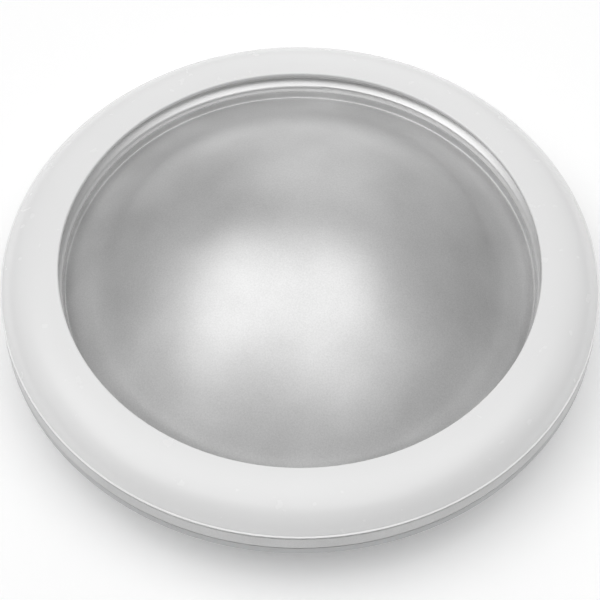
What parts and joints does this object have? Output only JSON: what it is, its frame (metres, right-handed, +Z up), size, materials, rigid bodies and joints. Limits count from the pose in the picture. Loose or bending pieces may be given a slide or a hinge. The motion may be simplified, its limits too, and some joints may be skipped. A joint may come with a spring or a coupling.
{
  "type": "talking clock",
  "caption": "Flat round talking table clock: white rounded ring, silver domed press button, grey side band, and a shallow base with feet, keys, speaker and cells below.",
  "frame": {"origin": "centre of the footprint, on the table that the feet stand on", "axes": "+Z up, the shortest side; -Y is the front, from which the picture looks down; +X right"},
  "size_m": [0.13, 0.13, 0.0404],
  "materials": {
    "ring_plastic": "gloss white moulded plastic",
    "dome_paint": "satin silver paint with fine metallic flake on plastic",
    "band_paint": "satin grey-silver paint on plastic",
    "base_plastic": "fine matte light grey moulded plastic",
    "carrier_plastic": "natural white moulded plastic",
    "screw_steel": "zinc plated steel",
    "spring_steel": "drawn spring wire",
    "cell_can": "plain dark printed cell jacket with bare metal ends",
    "contact_steel": "nickel plated spring steel",
    "gasket_foam": "closed cell foam",
    "frame_steel": "pressed steel basket",
    "cone_paper": "black paper cone",
    "magnet_ferrite": "dark ferrite magnet with steel yoke",
    "board_laminate": "green circuit board laminate",
    "chip_resin": "black resin over the voice chip",
    "crystal_can": "bright metal can",
    "capacitor_can": "dark sleeved aluminium can",
    "switch_plastic": "black switch housing",
    "plunger_plastic": "white plunger",
    "switch_can": "tinned metal switch case",
    "knob_plastic": "black moulded plastic",
    "key_plastic": "mid grey moulded plastic",
    "bell_rubber": "grey silicone rubber",
    "foot_rubber": "black rubber",
    "wire_red": "red insulated wire",
    "wire_black": "black insulated wire"
  },
  "bodies": {
    "clock": {"top_ring": "ring_plastic", "side_band": "band_paint", "base_shell": "base_plastic", "carrier_plate": "carrier_plastic", "carrier_screws": "screw_steel", "case_screws": "screw_steel", "battery_1": "cell_can", "battery_2": "cell_can", "battery_spring_1": "spring_steel", "battery_spring_2": "spring_steel", "contact_positive": "contact_steel", "contact_negative": "contact_steel", "contact_link": "contact_steel", "speaker_gasket": "gasket_foam", "speaker_frame": "frame_steel", "speaker_cone": "cone_paper", "speaker_magnet": "magnet_ferrite", "speaker_screws": "screw_steel", "main_board": "board_laminate", "board_screws": "screw_steel", "voice_chip": "chip_resin", "clock_crystal": "crystal_can", "capacitors": "capacitor_can", "dome_switch": "switch_plastic", "alarm_switch": "switch_can", "volume_switch": "switch_can", "battery_wire_1": "wire_red", "battery_wire_2": "wire_black", "speaker_wire_1": "wire_red", "speaker_wire_2": "wire_black", "return_spring_1": "spring_steel", "rubber_foot_1": "foot_rubber", "key_bell_1": "bell_rubber", "return_spring_2": "spring_steel", "rubber_foot_2": "foot_rubber", "key_bell_2": "bell_rubber", "return_spring_3": "spring_steel", "rubber_foot_3": "foot_rubber", "key_bell_3": "bell_rubber", "return_spring_4": "spring_steel", "rubber_foot_4": "foot_rubber", "key_bell_4": "bell_rubber"},
    "dome": {"dome_button": "dome_paint"},
    "plunger": {"dome_switch_plunger": "plunger_plastic"},
    "key_1": {"set_key_1": "key_plastic"},
    "key_2": {"set_key_2": "key_plastic"},
    "key_3": {"set_key_3": "key_plastic"},
    "key_4": {"set_key_4": "key_plastic"},
    "alarm_knob": {"alarm_switch_knob": "knob_plastic"},
    "volume_knob": {"volume_switch_knob": "knob_plastic"},
    "door": {"battery_door": "base_plastic"}
  },
  "joints": [
    {"name": "dome_press", "type": "slide", "parent": "clock", "child": "dome", "axis": [0, 0, -1], "range_m": [0, 0.001], "stiffness_N_per_m": 1200, "springref_m": -0.0015, "deforming": ["return_spring_1", "return_spring_2", "return_spring_3", "return_spring_4"]},
    {"name": "plunger_press", "type": "slide", "parent": "clock", "child": "plunger", "axis": [0, 0, -1], "range_m": [0, 0.001]},
    {"name": "key_1_press", "type": "slide", "parent": "clock", "child": "key_1", "axis": [0, 0, 1], "range_m": [0, 0.0008], "stiffness_N_per_m": 300, "springref_m": -0.0005, "deforming": ["key_bell_1"]},
    {"name": "key_2_press", "type": "slide", "parent": "clock", "child": "key_2", "axis": [0, 0, 1], "range_m": [0, 0.0008], "stiffness_N_per_m": 300, "springref_m": -0.0005, "deforming": ["key_bell_2"]},
    {"name": "key_3_press", "type": "slide", "parent": "clock", "child": "key_3", "axis": [0, 0, 1], "range_m": [0, 0.0008], "stiffness_N_per_m": 300, "springref_m": -0.0005, "deforming": ["key_bell_3"]},
    {"name": "key_4_press", "type": "slide", "parent": "clock", "child": "key_4", "axis": [0, 0, 1], "range_m": [0, 0.0008], "stiffness_N_per_m": 300, "springref_m": -0.0005, "deforming": ["key_bell_4"]},
    {"name": "alarm_slide", "type": "slide", "parent": "clock", "child": "alarm_knob", "axis": [1, 0, 0], "range_m": [0, 0.003]},
    {"name": "volume_slide", "type": "slide", "parent": "clock", "child": "volume_knob", "axis": [1, 0, 0], "range_m": [0, 0.003]},
    {"name": "door_hinge", "type": "hinge", "parent": "clock", "child": "door", "pos_m": [0, 0.0084, 0.0012], "axis": [-1, 0, 0], "range_deg": [0, 60]}
  ],
  "couplings": [
    {"joint": "plunger_press", "follows": "dome_press", "ratio": 1}
  ]
}
